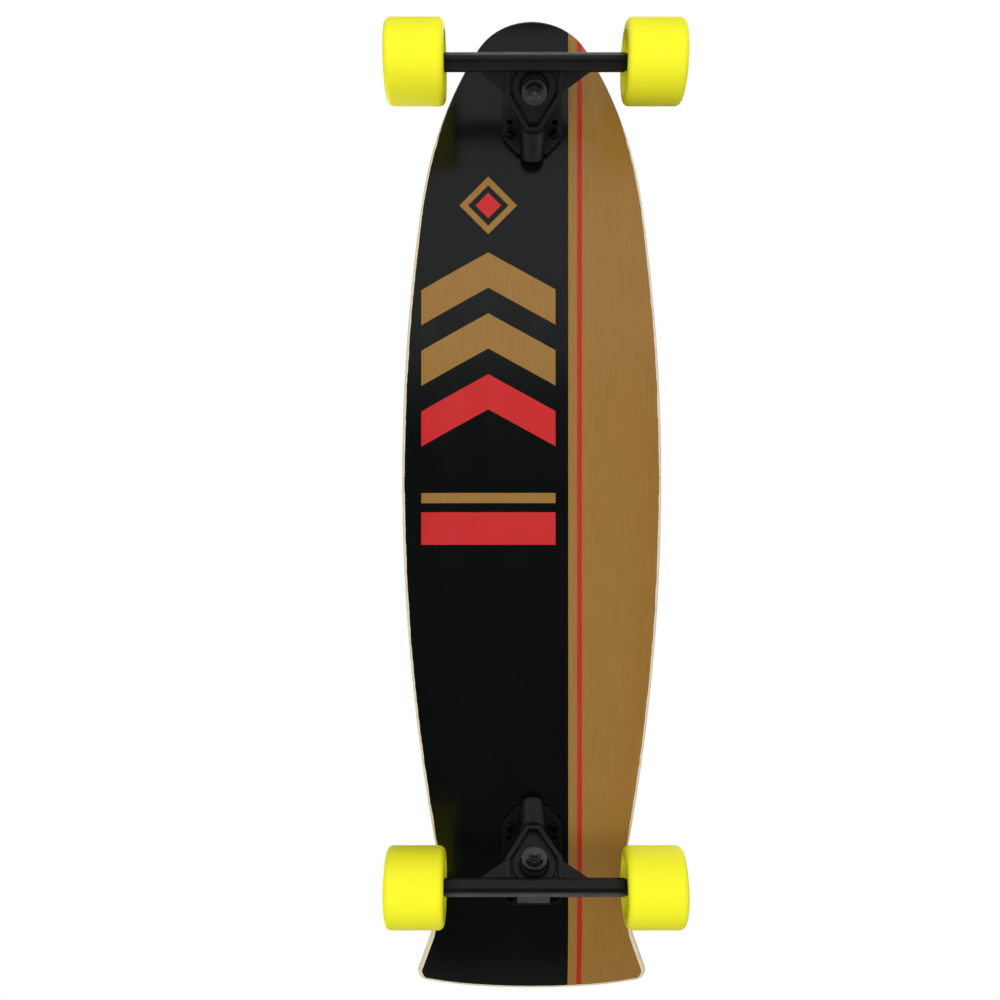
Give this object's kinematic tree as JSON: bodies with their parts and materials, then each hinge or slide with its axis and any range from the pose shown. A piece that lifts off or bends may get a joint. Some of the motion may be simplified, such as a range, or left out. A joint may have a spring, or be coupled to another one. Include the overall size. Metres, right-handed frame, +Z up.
{
  "type": "longboard skateboard",
  "caption": "Wooden longboard with a rounded nose, a waisted flared kick tail, grip tape, sprung steering trucks and free-rolling urethane wheels.",
  "frame": {"origin": "on the floor under the middle of the deck", "axes": "+X to the nose, +Y to the rider's left when facing the nose, +Z up"},
  "size_m": [0.914, 0.257, 0.1331],
  "materials": {
    "deck_wood": "pressed maple ply, printed and gloss lacquered underneath",
    "grip": "black abrasive grit",
    "truck_black": "cast, satin black coating",
    "black_steel": "black oxide",
    "steel": "zinc plated",
    "bushing": "black urethane",
    "black_plastic": "moulded",
    "urethane": "glossy yellow urethane",
    "core_plastic": "hard white plastic"
  },
  "bodies": {
    "deck": {"deck": "deck_wood", "grip_tape": "grip", "front_deck_bolts": "black_steel", "front_deck_nuts": "black_steel", "front_baseplate": "truck_black", "front_pivot_cup": "black_plastic", "front_kingpin": "steel", "front_kingpin_nut": "black_steel", "front_road_washer": "black_steel", "front_board_washer": "black_steel", "front_road_bushing": "bushing", "front_board_bushing": "bushing", "rear_deck_bolts": "black_steel", "rear_deck_nuts": "black_steel", "rear_baseplate": "truck_black", "rear_pivot_cup": "black_plastic", "rear_kingpin": "steel", "rear_kingpin_nut": "black_steel", "rear_road_washer": "black_steel", "rear_board_washer": "black_steel", "rear_road_bushing": "bushing", "rear_board_bushing": "bushing"},
    "front_hanger": {"front_hanger": "truck_black", "front_axle": "steel", "front_left_bearing_inner_rings": "steel", "front_left_spacer": "steel", "front_left_speed_washers": "steel", "front_left_axle_nut": "steel", "front_right_bearing_inner_rings": "steel", "front_right_spacer": "steel", "front_right_speed_washers": "steel", "front_right_axle_nut": "steel"},
    "front_left_wheel": {"front_left_tyre": "urethane", "front_left_core": "core_plastic", "front_left_bearing_outer_rings": "steel"},
    "front_right_wheel": {"front_right_tyre": "urethane", "front_right_core": "core_plastic", "front_right_bearing_outer_rings": "steel"},
    "rear_hanger": {"rear_hanger": "truck_black", "rear_axle": "steel", "rear_left_bearing_inner_rings": "steel", "rear_left_spacer": "steel", "rear_left_speed_washers": "steel", "rear_left_axle_nut": "steel", "rear_right_bearing_inner_rings": "steel", "rear_right_spacer": "steel", "rear_right_speed_washers": "steel", "rear_right_axle_nut": "steel"},
    "rear_left_wheel": {"rear_left_tyre": "urethane", "rear_left_core": "core_plastic", "rear_left_bearing_outer_rings": "steel"},
    "rear_right_wheel": {"rear_right_tyre": "urethane", "rear_right_core": "core_plastic", "rear_right_bearing_outer_rings": "steel"}
  },
  "joints": [
    {"name": "front_steer", "type": "hinge", "parent": "deck", "child": "front_hanger", "pos_m": [0.371, 0, 0.0548], "axis": [0.7071, 0, -0.7071], "range_deg": [-15, 15], "stiffness_Nm_per_rad": 60, "deforming": ["front_road_bushing", "front_board_bushing"]},
    {"name": "front_left_spin", "type": "hinge", "parent": "front_hanger", "child": "front_left_wheel", "pos_m": [0.3809, 0.103, 0.035], "axis": [0, 1, 0], "continuous": true},
    {"name": "front_right_spin", "type": "hinge", "parent": "front_hanger", "child": "front_right_wheel", "pos_m": [0.3809, -0.103, 0.035], "axis": [0, 1, 0], "continuous": true},
    {"name": "rear_steer", "type": "hinge", "parent": "deck", "child": "rear_hanger", "pos_m": [-0.323, 0, 0.0548], "axis": [-0.7071, 0, -0.7071], "range_deg": [-15, 15], "stiffness_Nm_per_rad": 60, "deforming": ["rear_road_bushing", "rear_board_bushing"]},
    {"name": "rear_left_spin", "type": "hinge", "parent": "rear_hanger", "child": "rear_left_wheel", "pos_m": [-0.3329, 0.103, 0.035], "axis": [0, 1, 0], "continuous": true},
    {"name": "rear_right_spin", "type": "hinge", "parent": "rear_hanger", "child": "rear_right_wheel", "pos_m": [-0.3329, -0.103, 0.035], "axis": [0, 1, 0], "continuous": true}
  ]
}
